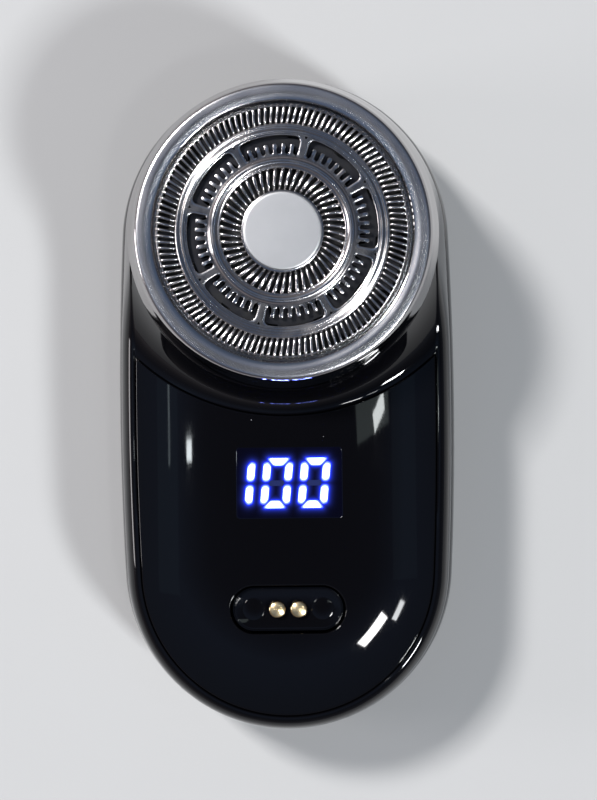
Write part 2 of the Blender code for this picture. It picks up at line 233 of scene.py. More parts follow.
glossLook = {"colour": (0.0016, 0.0016, 0.0022), "dustColour": (0.16, 0.16, 0.17), "smudged": (0.02, 0.05),
             "smudgeScale": 140, "dust": 0.03, "dustScale": 420.0, "dustPatch": 0.56, "patchScale": 95,
             "hairScale": 900, "hairTurn": 28, "hairDepth": 0.0000006, "waveScale": 70,
             "waveDepth": 0.000012, "refraction": 1.33}


def pianoBlack():
    # polished black moulding: finger smudges in the gloss, hairline scratches and a few specks of dust
    desk = NodeDesk("pianoBlack")
    smudge = desk.noise(glossLook["smudgeScale"], 5)
    gloss = desk.ramp(smudge, *glossLook["smudged"], 0.35, 0.75)
    cells = desk.node("ShaderNodeTexVoronoi", {"Vector": desk.place, "Scale": glossLook["dustScale"],
                                               "Randomness": 1.0})
    speck = desk.maths("LESS_THAN", cells.outputs["Distance"], glossLook["dust"])
    patchy = desk.maths("GREATER_THAN", desk.noise(glossLook["patchScale"], 2), glossLook["dustPatch"])
    speck = desk.maths("MULTIPLY", speck, patchy)
    rough = desk.maths("ADD", gloss, desk.maths("MULTIPLY", speck, 0.5))
    colour = desk.colours(speck, glossLook["colour"], glossLook["dustColour"])
    drawn = desk.stretched((0.03, 1.0, 0.3), (0, 0, math.radians(glossLook["hairTurn"])))
    hairs = desk.noise(glossLook["hairScale"], 2, 0.4, drawn)
    waves = desk.noise(glossLook["waveScale"], 2)
    height = desk.bump(hairs, glossLook["hairDepth"], 0.6)
    height = desk.bump(waves, glossLook["waveDepth"], 0.5, height)
    desk.set(Base_Color=colour, Roughness=rough, Normal=height, IOR=glossLook["refraction"])
    return desk.material


chromeLook = {"colour": (0.36, 0.355, 0.37), "tint": (0.42, 0.41, 0.415), "flank": (0.42, 0.41, 0.41),
              "grain": 7000, "grainDepth": 0.000011, "satin": (0.21, 0.27), "polished": (0.035, 0.06),
              "satinFrom": 32.9 * mm, "satinTo": 33.03 * mm}


def platedChrome():
    # plated plastic: polished on the flared side, and a sparkling satin grain on the flat top
    desk = NodeDesk("platedChrome")
    cloud = desk.noise(110, 3)
    grain = desk.noise(chromeLook["grain"], 2, 0.7)
    height = desk.node("ShaderNodeSeparateXYZ", {"Vector": desk.place}).outputs["Z"]
    onTop = desk.ramp(height, 0.0, 1.0, chromeLook["satinFrom"], chromeLook["satinTo"])
    polished = desk.ramp(cloud, *chromeLook["polished"], 0.3, 0.7)
    satinRough = desk.ramp(cloud, *chromeLook["satin"], 0.3, 0.7)
    rough = desk.node("ShaderNodeMix", {0: onTop, 2: polished, 3: satinRough}).outputs[0]
    plain = desk.colours(cloud, chromeLook["colour"], chromeLook["tint"])
    colour = desk.node("ShaderNodeMix", {0: onTop, 6: (*chromeLook["flank"], 1.0), 7: plain},
                       data_type="RGBA").outputs[2]
    desk.set(Base_Color=colour, Metallic=1.0, Roughness=rough,
             Normal=desk.bump(desk.maths("MULTIPLY", grain, onTop), chromeLook["grainDepth"], 0.7))
    return desk.material


steelLook = {"clean": (0.46, 0.45, 0.455), "used": (0.30, 0.285, 0.28), "rough": (0.14, 0.26),
             "turnedLines": 4200.0, "lineDepth": 0.000002}


def netSteel(name="netSteel", rough=steelLook["rough"], clean=steelLook["clean"], used=steelLook["used"]):
    # polished stainless steel, with turned lines about the head's axis and dull traces of use
    desk = NodeDesk(name)
    wear = desk.noise(420, 5, 0.6)
    spread = desk.node("ShaderNodeVectorMath", {0: desk.stretched((1, 1, 0), centre=(0, -headY, 0))},
                       operation="LENGTH").outputs["Value"]
    lines = desk.node("ShaderNodeCombineXYZ", {"X": desk.maths("MULTIPLY", spread, steelLook["turnedLines"]),
                                               "Y": desk.maths("MULTIPLY", wear, 0.4)})
    rings = desk.noise(3.0, 3, 0.6, lines.outputs[0])
    desk.set(Base_Color=desk.colours(desk.ramp(wear, 0, 1, 0.38, 0.7), clean, used),
             Metallic=1.0, Roughness=desk.ramp(wear, rough[0], rough[1], 0.35, 0.7),
             Normal=desk.bump(rings, steelLook["lineDepth"], 0.35))
    return desk.material


satinLook = {"colour": (0.395, 0.395, 0.40), "tint": (0.455, 0.455, 0.46), "grain": 9000,
             "rough": (0.34, 0.46), "grainDepth": 0.000003}


def satinSteel():
    # bead-blasted disc: an even fine grain
    desk = NodeDesk("satinSteel")
    grain = desk.noise(satinLook["grain"], 2, 0.6)
    cloud = desk.noise(230, 3)
    desk.set(Base_Color=desk.colours(cloud, satinLook["colour"], satinLook["tint"]), Metallic=1.0,
             Roughness=desk.ramp(grain, *satinLook["rough"]),
             Normal=desk.bump(grain, satinLook["grainDepth"], 0.5))
    return desk.material


goldLook = {"colour": (0.83, 0.60, 0.30), "pale": (0.90, 0.72, 0.44)}


def turnedGold(side, name):
    # gold plate over lathe rings about the pin's own axis
    desk = NodeDesk(name)
    spread = desk.node("ShaderNodeVectorMath", {0: desk.stretched((1, 1, 0), centre=(-side, -socketY, 0))},
                       operation="LENGTH").outputs["Value"]
    ring = desk.maths("SINE", desk.maths("MULTIPLY", spread, 42000.0))
    wear = desk.noise(1500, 3)
    desk.set(Base_Color=desk.colours(wear, goldLook["colour"], goldLook["pale"]), Metallic=1.0,
             Roughness=desk.ramp(wear, 0.16, 0.32), Normal=desk.bump(ring, 0.000004, 0.5))
    return desk.material


plasticLook = {"grain": 1400, "grainDepth": 0.000012}


def mouldedPlastic(name, low, high, rough=0.45):
    # plain moulded plastic with a spark-eroded texture
    desk = NodeDesk(name)
    texture = desk.noise(plasticLook["grain"], 4)
    cloud = desk.noise(150, 3)
    desk.set(Base_Color=desk.colours(cloud, low, high),
             Roughness=desk.ramp(texture, rough - 0.06, rough + 0.08, 0.3, 0.7),
             Normal=desk.bump(texture, plasticLook["grainDepth"], 0.6))
    return desk.material


def softRubber(name="softRubber", tone=0.022):
    # matt seal rubber with a dusty bloom
    desk = NodeDesk(name)
    bloom = desk.noise(600, 4)
    desk.set(Base_Color=desk.colours(bloom, (tone, tone, tone), (tone * 1.9, tone * 1.9, tone * 1.9)),
             Roughness=desk.ramp(bloom, 0.7, 0.9), Normal=desk.bump(desk.noise(2600, 2), 0.00001, 0.5))
    return desk.material


def brushedMetal(name, low, high, rough=0.28, along=(1.0, 1.0, 0.04)):
    # drawn or ground metal: long fine lines
    desk = NodeDesk(name)
    lines = desk.noise(2400, 3, 0.6, desk.stretched(along))
    desk.set(Base_Color=desk.colours(lines, low, high), Metallic=1.0,
             Roughness=desk.ramp(lines, rough - 0.08, rough + 0.1, 0.3, 0.7),
             Normal=desk.bump(lines, 0.000004, 0.5))
    return desk.material


def solderMask():
    # circuit board: green lacquer with copper tracks showing through as paler lines
    desk = NodeDesk("solderMask")
    tracks = desk.node("ShaderNodeTexBrick", {
        "Vector": desk.place, "Scale": 260.0, "Mortar Size": 0.03, "Color1": (0.010, 0.085, 0.035, 1),
        "Color2": (0.013, 0.1, 0.042, 1), "Mortar": (0.03, 0.19, 0.08, 1)})
    desk.set(Base_Color=tracks.outputs["Color"], Roughness=desk.ramp(desk.noise(500), 0.3, 0.5),
             Normal=desk.bump(tracks.outputs["Fac"], 0.00002, 0.6))
    return desk.material


black = pianoBlack()
chrome = platedChrome()
steel = netSteel()
# the cutter blade's steel is given near-black colours: painted shade for the hollow under the net
shadedCutterSteel = netSteel("cutterSteelPaintedShade", (0.3, 0.45), (0.035, 0.035, 0.04), (0.025, 0.025, 0.025))
satin = satinSteel()
matte = mouldedPlastic("mattePlastic", (0.009, 0.009, 0.010), (0.015, 0.015, 0.016))
nylon = mouldedPlastic("naturalNylon", (0.62, 0.61, 0.56), (0.72, 0.71, 0.67), 0.5)
rubber = softRubber()
foam = softRubber("padFoam", 0.05)
motorSteel = brushedMetal("motorSteel", (0.48, 0.48, 0.5), (0.62, 0.62, 0.64))
foil = brushedMetal("cellFoil", (0.46, 0.46, 0.48), (0.6, 0.6, 0.62), 0.36, (0.06, 1.0, 1.0))
brass = brushedMetal("bearingBrass", (0.62, 0.44, 0.2), (0.76, 0.56, 0.28), 0.34, (1.0, 1.0, 1.0))
board = solderMask()
print("materials ready")


# body outline

bodyShape = {"halfWidth": 25.0 * mm, "endRadius": 24.4 * mm, "endCentre": 24.1 * mm, "endSteps": 96,
             "sideSteps": 36}
panelShape = {"inset": 3.3 * mm, "arcY": 29.6 * mm, "arcRadius": 31.5 * mm, "gap": 0.12 * mm,
              "crown": 1.3 * mm, "edgeZ": 21.1 * mm, "halfWidth": 21.7 * mm, "endY": -24.1 * mm,
              "endReach": 21.1 * mm, "steepness": 3.2, "arcSteps": 150, "sideSteps": 90}


def sideArc():
    # the side arc's radius follows from being tangent to both round ends
    bulge = bodyShape["halfWidth"] - bodyShape["endRadius"]
    radius = bodyShape["halfWidth"] + (bodyShape["endCentre"] ** 2 - bulge ** 2) / (2 * bulge)
    return radius, radius - bodyShape["halfWidth"]


def cornerTurn(inset, arcRadius):
    # the side arc's direction at which it meets the arc over the panel, found by halving
    radius, sideX = sideArc()
    low, high = 0.0, math.atan2(bodyShape["endCentre"], sideX)
    for _ in range(50):
        turn = (low + high) / 2
        x = (radius - inset) * math.cos(turn) - sideX
        y = (radius - inset) * math.sin(turn)
        if math.hypot(x, y - panelShape["arcY"]) > arcRadius:
            low = turn
        else:
            high = turn
    return turn


def outlineTurns():
    # directions round the outline: both side arcs have a column exactly at the pocket's corner
    lean = math.atan2(bodyShape["endCentre"], sideArc()[1])
    gap = panelShape["gap"]
    corner = cornerTurn(panelShape["inset"] - gap, panelShape["arcRadius"] - gap)
    lower = np.linspace(-lean, corner, bodyShape["sideSteps"] * 2, endpoint=False)
    upper = np.linspace(corner, lean, bodyShape["sideSteps"], endpoint=False)
    end = np.linspace(lean, math.pi - lean, bodyShape["endSteps"], endpoint=False)
    leftUpper = np.linspace(math.pi - lean, math.pi - corner, bodyShape["sideSteps"], endpoint=False)
    leftLower = np.linspace(math.pi - corner, math.pi + lean, bodyShape["sideSteps"] * 2, endpoint=False)
    turn = np.concatenate([lower, upper, end, leftUpper, leftLower, end + math.pi])
    flat = np.abs(np.sin(turn)) <= math.sin(lean) + 1e-9
    below = (turn < corner + 1e-9) | (turn > math.pi - corner - 1e-9)
    return turn, flat, below


turns, onSide, underPanel = outlineTurns()


def outlineAt(turn, flat, inset):
    # two shallow side arcs tangent to two round ends, moved inwards along the outline's own normals
    radius, sideX = sideArc()
    centreX = np.where(flat, -sideX * np.sign(np.cos(turn)), 0.0)
    centreY = np.where(flat, 0.0, bodyShape["endCentre"] * np.sign(np.sin(turn)))
    reach = np.where(flat, radius, bodyShape["endRadius"]) - inset
    return np.stack([centreX + reach * np.cos(turn), centreY + reach * np.sin(turn)], -1)


def bodyOutline(inset):
    return outlineAt(turns, onSide, inset)


def atHeight(outline, height):
    # a flat outline given one height, or one for each point
    height = np.broadcast_to(height, outline.shape[:1])
    return np.concatenate([outline, height[:, None]], axis=1)


def circleLike(outline, centre, radius):
    # points on a circle, in the directions in which the outline's own points lie from its centre
    turn = np.arctan2(outline[:, 1] - centre[1], outline[:, 0] - centre[0])
    return np.stack([centre[0] + radius * np.cos(turn), centre[1] + radius * np.sin(turn)], -1)


def between(first, second, share):
    return first + (second - first) * share


# rear shell

# its wall is a list of (inset, height) in millimetres: up the outside, over the lip, down the inside
rearShell = {"dishRadius": 8.0 * mm, "dishDepth": 0.5 * mm, "holeRadius": 5.4 * mm, "floor": 1.7 * mm,
             "rounding": 0.5 * mm,
             "outer": [(8.0, 0.0), (6.4, 0.12), (5.0, 0.45), (3.7, 1.0), (2.7, 1.8), (1.8, 2.9), (1.1, 4.2),
                       (0.6, 5.6), (0.3, 7.0), (0.08, 8.5), (0.0, 10.0), (0.03, 11.3), (0.15, 12.5),
                       (0.38, 13.8), (0.68, 14.75)],
             "lip": [(0.8, 14.95), (1.0, 15.0), (2.2, 15.0)],
             "inner": [(2.3, 14.9), (1.9, 13.0), (1.75, 11.0), (1.7, 9.6), (1.85, 7.6), (2.2, 6.0),
                       (2.8, 4.5), (3.6, 3.4), (4.5, 2.65), (5.6, 2.1), (7.0, 1.75), (8.4, 1.7)]}


def makeRearShell():
    # a cup: rings from the button's hole over the flat back and up the rounded side, then down inside
    wall = np.array(rearShell["outer"] + rearShell["lip"] + rearShell["inner"]) * mm
    sides = rounded(wall, rearShell["rounding"], 4)
    back = bodyOutline(wall[0, 0])
    centre = (0.0, buttonY)
    hole, dish = rearShell["holeRadius"], rearShell["dishRadius"]
    depth, floor = rearShell["dishDepth"], rearShell["floor"]
    dishProfile = [(hole, floor), (hole, depth + 0.12 * mm), (hole + 0.04 * mm, depth + 0.03 * mm),
                   (hole + 0.14 * mm, depth), (dish - 0.9 * mm, depth * 0.98),
                   (dish - 0.2 * mm, depth * 0.55), (dish + 0.1 * mm, depth * 0.16), (dish + 0.5 * mm, 0.0)]
    rings = [atHeight(circleLike(back, centre, radius), height) for radius, height in dishProfile]
    dishEdge = circleLike(back, centre, dish + 0.5 * mm)
    rings += [atHeight(between(dishEdge, back, share), 0.0) for share in np.linspace(0, 1, 8)[1:-1]]
    rings += [atHeight(bodyOutline(inset), height) for inset, height in sides]
    insideEdge = bodyOutline(wall[-1, 0])
    insideHole = circleLike(back, centre, hole)
    rings += [atHeight(between(insideEdge, insideHole, share), floor) for share in (0.35, 0.7)]
    points = np.stack(rings)
    quads = gridQuads(len(rings), points.shape[1], closeRows=True)
    shell = pieceFrom("rearShell", points, quads, black, sharp=50)
    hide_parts("rear_shell")
    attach(shell, "body")


makeRearShell()
print("rear shell made")


# front housing: side walls, rim round the panel, and the neck that rises to the head

# the well under the head is a list of (radius, height) in millimetres
housing = {"lowZ": 15.3 * mm, "neckZ": 27.3 * mm, "rimInset": 2.95 * mm, "neckInset": 2.8 * mm,
           "sideInset": 0.78 * mm, "wallSteps": 26, "neckSteps": 36, "deckZ": 19.3 * mm,
           "seatRadius": 21.9 * mm, "lipRadius": 21.5 * mm, "innerInset": 2.9 * mm, "innerZ": 18.1 * mm,
           "coveBend": 2.3, "coveRadius": 27.2 * mm, "farInset": 10 * mm, "wellRounding": 0.18 * mm,
           "well": [(21.5, 27.3), (20.9, 27.3), (20.9, 26.3), (3.9, 26.3), (3.9, 24.8), (17.5, 24.8),
                    (17.5, 18.1), (18.2, 18.1)]}


def panelTop(x, y):
    # the panel's crown: highest along the middle, falling towards the sides and the round end
    past = np.maximum(0, panelShape["endY"] - y) / panelShape["endReach"]
    rho = np.sqrt((x / panelShape["halfWidth"]) ** 2 + past ** 2)
    crown = 1 - np.minimum(rho, 1) ** panelShape["steepness"]
    return panelShape["edgeZ"] + panelShape["crown"] * crown


def arcAlong(directions):
    # how far the pocket's arc is from the head's axis, in these directions
    drop = panelShape["arcY"] - headY
    down = drop * directions[..., 1]
    return down + np.sqrt(down ** 2 - drop ** 2 + (panelShape["arcRadius"] - panelShape["gap"]) ** 2)


def neckRise(x, y):
    # a hollow curve about the head's axis: 0 from the pocket's arc outwards, 1 under the collar
    away = np.hypot(x, y - headY)
    directions = np.stack([x, y - headY], -1) / np.maximum(away, 1e-9)[..., None]
    start = np.minimum(arcAlong(directions), housing["coveRadius"])
    share = (start - away) / (start - housing["seatRadius"])
    return np.clip(share, 0, 1) ** housing["coveBend"]


def faceHeight(x, y):
    # the panel's crown carried on, and lifted towards the collar
    base = panelTop(x, y)
    return base + (housing["neckZ"] - base) * neckRise(x, y)


def wallRing(share):
    # a quarter ellipse beside the panel, blending into a tall taper with a soft edge beside the head
    turn = share * math.pi / 2
    edge = bodyOutline(housing["rimInset"])
    lift = neckRise(edge[:, 0], edge[:, 1])
    lowInset = between(housing["sideInset"], housing["rimInset"], (1 - math.cos(turn)) ** 1.1)
    tallInset = between(housing["sideInset"], housing["neckInset"], math.sin(turn) ** 1.15)
    inset = between(lowInset, tallInset, lift)
    topZ = faceHeight(edge[:, 0], edge[:, 1])
    height = between(housing["lowZ"], topZ, math.sin(turn))
    near, far = bodyOutline(0.0), bodyOutline(housing["farInset"])
    return atHeight(between(near, far, (inset / housing["farInset"])[:, None]), height)


def makeHousing():
    # rings in order: up the wall, over the rim, down into the panel's pocket, across it, up again, over the
    # neck to the head's seat, down its well, and back underneath to the wall's foot
    walls = [wallRing(share) for share in np.linspace(0, 1, housing["wallSteps"])]
    edge = bodyOutline(housing["rimInset"])
    lift = neckRise(edge[:, 0], edge[:, 1])[:, None]
    gap = panelShape["gap"]
    neckEdge = bodyOutline(housing["neckInset"] + 0.15 * mm)
    pocket = between(bodyOutline(panelShape["inset"] - gap), neckEdge, lift)
    centre = np.array([0.0, headY])
    reach = pocket - centre
    reach /= np.linalg.norm(reach, axis=1, keepdims=True)
    along = arcAlong(reach)
    arc = centre + reach * along[:, None]
    inPocket = underPanel & (np.linalg.norm(pocket - centre, axis=1) > along + 1e-6)
    arc = np.where(inPocket[:, None], arc, pocket)
    topAt = lambda ring: faceHeight(ring[:, 0], ring[:, 1])
    sunk = lambda ring, share: between(topAt(ring), housing["deckZ"], share * inPocket)
    softer = between(pocket, walls[-1][:, :2], 0.35)
    rings = walls + [atHeight(softer, topAt(softer)), atHeight(pocket, sunk(pocket, 0.06))]
    rings += [atHeight(pocket, sunk(pocket, share)) for share in (0.5, 1.0)]
    rings += [atHeight(between(pocket, arc, share), sunk(between(pocket, arc, share), 1.0))
              for share in (0.25, 0.5, 0.75)]
    rings += [atHeight(arc, sunk(arc, share)) for share in (1.0, 0.5, 0.06)]
    lip = centre + reach * housing["lipRadius"]
    for share in np.linspace(0.02, 1, housing["neckSteps"]):
        ring = between(arc, lip, share)
        rings.append(atHeight(ring, topAt(ring)))
    well = rounded(np.array(housing["well"]) * mm, housing["wellRounding"], 4)
    rings += [atHeight(centre + reach * radius, height) for radius, height in well[1:]]
    under = bodyOutline(housing["innerInset"])
    lastCircle = centre + reach * well[-1, 0]
    rings += [atHeight(between(lastCircle, under, share), housing["innerZ"]) for share in (0.5, 1.0)]
    rings.append(atHeight(under, housing["lowZ"]))
    points = np.stack(rings)
    quads = gridQuads(len(rings), points.shape[1], closeRows=True)
    made = pieceFrom("frontHousing", points, quads, black, sharp=40, weld=True)
    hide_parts("front_housing")
    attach(made, "body")


makeHousing()
print("front housing made")


# front panel with the charging recess

recess = {"halfLength": 8.3 * mm, "halfWidth": 3.45 * mm, "lip": 0.22 * mm, "thickness": 1.5 * mm,
          "rings": 40, "edgeRadius": 0.2 * mm}


def stadiumLike(directions, halfLength, halfWidth):
    # where rays from the middle leave a stadium: through its flats where they can, else its round ends
    straight = halfLength - halfWidth
    across, up = np.abs(directions[:, 0]), np.abs(directions[:, 1])
    toFlat = halfWidth / np.maximum(up, 1e-9)
    toEnd = straight * across + np.sqrt(np.maximum(halfWidth ** 2 - (straight * up) ** 2, 0))
    return directions * np.where(across * toFlat <= straight, toFlat, toEnd)[:, None]


def panelBoundary(offset):
    # up the right side to the corner, along the arc over the panel, down the left side, round the bottom
    inset, arcRadius = panelShape["inset"] + offset, panelShape["arcRadius"] + offset
    radius, sideX = sideArc()
    lean = math.atan2(bodyShape["endCentre"], sideX)
    corner = cornerTurn(inset, arcRadius)
    x = (radius - inset) * math.cos(corner) - sideX
    y = (radius - inset) * math.sin(corner)
    first = math.atan2(y - panelShape["arcY"], x)
    along = np.linspace(first, -math.pi - first, panelShape["arcSteps"])[1:-1]
    arc = np.stack([arcRadius * np.cos(along), panelShape["arcY"] + arcRadius * np.sin(along)], -1)
    side = np.linspace(-lean, corner, panelShape["sideSteps"])
    end = np.linspace(math.pi + lean, tau - lean, bodyShape["endSteps"])[1:-1]
    right = outlineAt(side, np.full(len(side), True), inset)
    bottom = outlineAt(end, np.full(len(end), False), inset)
    return np.concatenate([right, arc, right[::-1] * (-1, 1), bottom])


def smoothCrown(mesh):
    # shading normals on the crown straight from its slope, so that no seam of the grid shows in the gloss
    count = len(mesh.vertices)
    place, normal = np.zeros(count * 3), np.zeros(count * 3)
    mesh.vertices.foreach_get("co", place)
    mesh.vertices.foreach_get("normal", normal)
    place, normal = place.reshape(-1, 3), normal.reshape(-1, 3)
    x, y, step = place[:, 0], place[:, 1], 0.01 * mm
    slopeX = (panelTop(x + step, y) - panelTop(x - step, y)) / (2 * step)
    slopeY = (panelTop(x, y + step) - panelTop(x, y - step)) / (2 * step)
    crown = np.stack([-slopeX, -slopeY, np.ones(count)], -1)
    crown /= np.linalg.norm(crown, axis=1, keepdims=True)
    onCrown = (np.abs(place[:, 2] - panelTop(x, y)) < 0.002 * mm) & (normal[:, 2] > 0.97)
    mesh.normals_split_custom_set_from_vertices(np.where(onCrown[:, None], crown, normal).tolist())


def makePanel():
    # rings from the recess's lip out to the boundary, over it, and back underneath; heights from the crown
    centre = np.array([0.0, socketY])
    boundary = panelBoundary(0.0)
    directions = boundary - centre
    directions /= np.linalg.norm(directions, axis=1, keepdims=True)
    length, width, lip, edge = (recess[key] for key in ("halfLength", "halfWidth", "lip", "edgeRadius"))
    opening = centre + stadiumLike(directions, length, width)
    outer = centre + stadiumLike(directions, length + lip, width + lip)
    topAt = lambda ring, lower=0.0: atHeight(ring, panelTop(ring[:, 0], ring[:, 1]) - lower)
    rings = [topAt(opening, recess["thickness"]), topAt(opening, lip)]
    rings += [topAt(between(opening, outer, 1 - math.cos(turn)), lip * (1 - math.sin(turn)))
              for turn in np.linspace(0, math.pi / 2, 6)[1:]]
    nearEdge = panelBoundary(edge)
    rings += [topAt(between(outer, nearEdge, share)) for share in np.linspace(0, 1, recess["rings"])[1:]]
    rings += [topAt(between(nearEdge, boundary, math.sin(turn)), edge * (1 - math.cos(turn)))
              for turn in np.linspace(0, math.pi / 2, 7)[1:]]
    rings.append(topAt(boundary, recess["thickness"]))
    rings += [topAt(between(boundary, opening, share), recess["thickness"]) for share in (0.25, 0.5, 0.75)]
    points = np.stack(rings)
    quads = gridQuads(len(rings), points.shape[1], closeRows=True)
    panel = pieceFrom("frontPanel", points, quads, black, sharp=60, weld=True)
    smoothCrown(panel.data)
    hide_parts("front_panel")
    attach(panel, "body")


makePanel()
print("front panel made")


# charging socket, contact pins and magnets

# the socket's section is a list of (half length, height) in millimetres, from underneath to its middle
socket = {"halfLength": 8.0 * mm, "halfWidth": 3.15 * mm, "columns": 160, "least": 0.02 * mm,
          "section": [(0.02, 18.0), (8.0, 18.0), (8.0, 21.12), (7.97, 21.18), (7.88, 21.2), (7.7, 21.2),
                      (7.6, 21.17), (7.52, 21.15), (5.0, 21.15), (3.6, 21.15), (3.1, 21.15)]}
contact = {"x": 1.55 * mm, "headRadius": 1.2 * mm, "topZ": 22.25 * mm, "shaftRadius": 0.6 * mm,
           "lowZ": 16.7 * mm}
magnet = {"x": 5.0 * mm, "radius": 1.65 * mm, "topZ": 21.2 * mm, "lowZ": 18.0 * mm}


def stadiumRing(halfLength, halfWidth, height, columns, centreY):
    # evenly turned rays from the middle, cut by a stadium
    turn = np.linspace(0, tau, columns, endpoint=False)
    ring = stadiumLike(np.stack([np.cos(turn), np.sin(turn)], -1), halfLength, halfWidth)
    return atHeight(ring + (0.0, centreY), height)


def makeSocket():
    # a stadium block with a soft edge round its nearly flush floor
    columns = socket["columns"]
    rings = []
    for halfLength, height in np.array(socket["section"]) * mm:
        halfWidth = max(socket["halfWidth"] - (socket["halfLength"] - halfLength), socket["least"] / 2)
        rings.append(stadiumRing(max(halfLength, socket["least"]), halfWidth, height, columns, socketY))
    rings.append(atHeight(np.tile([0.0, socketY], (columns, 1)), height))
    quads = gridQuads(len(rings), columns)
    piece = pieceFrom("chargeSocket", np.stack(rings), quads, black, sharp=40, weld=True)
    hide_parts("charge_socket")
    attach(piece, "body")


def makeContact(side, name, node, finish):
    # a rivet: shallow turned cone on top, soft shoulder, thin shank
    radius, top, shank = contact["headRadius"], contact["topZ"], contact["shaftRadius"]
    under = top - 0.75 * mm
    profile = [(0, contact["lowZ"]), (shank, contact["lowZ"]), (shank, under), (radius, under),
               (radius, top - 0.3 * mm), (radius * 0.86, top - 0.13 * mm),
               (radius * 0.45, top - 0.03 * mm), (0, top)]
    piece = turnedPiece(name, rounded(profile, 0.22 * mm, 5), finish, 72, (side * contact["x"], socketY))
    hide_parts(node)
    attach(piece, "body")


def makeMagnet(side, name, node):
    radius, top = magnet["radius"], magnet["topZ"]
    profile = [(0, magnet["lowZ"]), (radius, magnet["lowZ"]), (radius, top), (0, top)]
    piece = turnedPiece(name, rounded(profile, 0.12 * mm, 4), black, 72, (side * magnet["x"], socketY))
    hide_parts(node)
    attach(piece, "body")


makeSocket()
makeContact(-1, "contactPinLeft", "charge_contact_left", turnedGold(-contact["x"], "turnedGoldLeft"))
makeContact(1, "contactPinRight", "charge_contact_right", turnedGold(contact["x"], "turnedGoldRight"))
makeMagnet(-1, "magnetLeft", "charge_magnet_left")
makeMagnet(1, "magnetRight", "charge_magnet_right")
print("charging contacts made")


# battery display: smoked window and seven-segment figures reading 100

figures = {"middle": (-1.42 * mm, displayY + 0.42 * mm), "height": 7.3 * mm, "width": 4.36 * mm,
           "pitch": 5.4 * mm, "thickness": 1.22 * mm, "slant": 0.098, "lift": 0.03 * mm, "steps": 48,
           "litCorner": 0.33 * mm, "unlitCorner": 0.12 * mm}
window = {"middle": (0.4 * mm, displayY + 0.45 * mm), "half": (7.65 * mm, 5.1 * mm), "corner": 0.5 * mm,
          "lift": 0.012 * mm, "halo": 0.3 * mm, "steps": (150, 100)}


def barShapes():
    # in millimetres: one upright bar with a full top outer corner and a cut inner one, one crossbar, a
    # trapezoid, and one plain middle bar
    half, deep, thick = figures["width"] / 2 / mm, figures["height"] / 2 / mm, figures["thickness"] / mm
    inner, foot = half - thick, 0.21
    upright = np.array([(half - 0.45, deep - 0.58), (half, deep - 0.8), (half, foot + 0.35),
                        (half - 0.32, foot), (inner + 0.32, foot), (inner, foot + 0.35),
                        (inner, deep - thick + 0.08), (half - 0.75, deep - 0.58)])
    rightHalf = np.array([(half - 0.66, deep), (half - 0.58, deep - 0.22),
                          (inner - 0.2, deep - thick + 0.03)])
    crossbar = np.concatenate([rightHalf, rightHalf[::-1] * (-1, 1)])
    rightEnd = np.array([(inner + 0.05, 0.4), (inner + 0.05, -0.4)])
    middle = np.concatenate([rightEnd, rightEnd[::-1] * (-1, 1)])
    return upright * mm, crossbar * mm, middle * mm


def evenly(outline, count):
    # a closed outline given this many points, equally far apart along it
    closed = np.concatenate([outline, outline[:1]])
    lengths = np.linalg.norm(np.diff(closed, axis=0), axis=1)
    along = np.concatenate([[0], np.cumsum(lengths)])
    wanted = np.linspace(0, along[-1], count, endpoint=False)
    return np.stack([np.interp(wanted, along, closed[:, axis]) for axis in (0, 1)], -1)


def figureBars():
    # lit bars of "1", "0" and "0", and the two unlit middle bars, slanted about the display's middle
    upright, crossbar, middle = barShapes()
    flipX, flipY = np.array([-1, 1]), np.array([1, -1])
    one = [upright, upright * flipY]
    zero = one + [upright * flipX, upright * flipX * flipY, crossbar, crossbar * flipY]
    slant, steps = np.array([[1, 0], [figures["slant"], 1]]), figures["steps"]
    lit, dark = [], []
    for column, bars in ((-1, one), (0, zero), (1, zero)):
        shift = np.array([column * figures["pitch"], 0])
        place = lambda bar: (evenly(bar, steps) + shift) @ slant + figures["middle"]
        lit += [place(roundedLoop(bar, figures["litCorner"], 6)) for bar in bars]
        if bars is zero:
            dark.append(place(roundedLoop(middle, figures["unlitCorner"], 4)))
    return lit, dark


def makeBars(name, bars, finish):
    # each bar: under face, wall, top edge, then rings inwards; "core" grows from its edge to its middle
    shares = [(1.0, 0.0, 0.0), (0.0, 0.0, 0.0), (0.0, 1.0, 0.0), (0.14, 1.0, 0.06), (0.35, 1.0, 0.5),
              (0.7, 1.0, 1.0), (1.0, 1.0, 1.0)]
    points, core = [], []
    for bar in bars:
        middle = bar.mean(axis=0)
        spine = middle + (bar - middle) * 0.001
        for inwards, lift, value in shares:
            ring = between(bar, spine, inwards)
            points.append(atHeight(ring, panelTop(ring[:, 0], ring[:, 1]) + lift * figures["lift"]))
            core.append(np.full(len(ring), value))
    steps = figures["steps"]
    quads = patchQuads(gridQuads(len(shares), steps), len(bars), len(shares) * steps)
    piece = pieceFrom(name, np.concatenate(points), quads, finish, sharp=60)
    attribute = piece.data.attributes.new("core", "FLOAT", "POINT")
    attribute.data.foreach_set("value", np.concatenate(core).astype(np.float32))
    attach(piece, "body")
    return piece


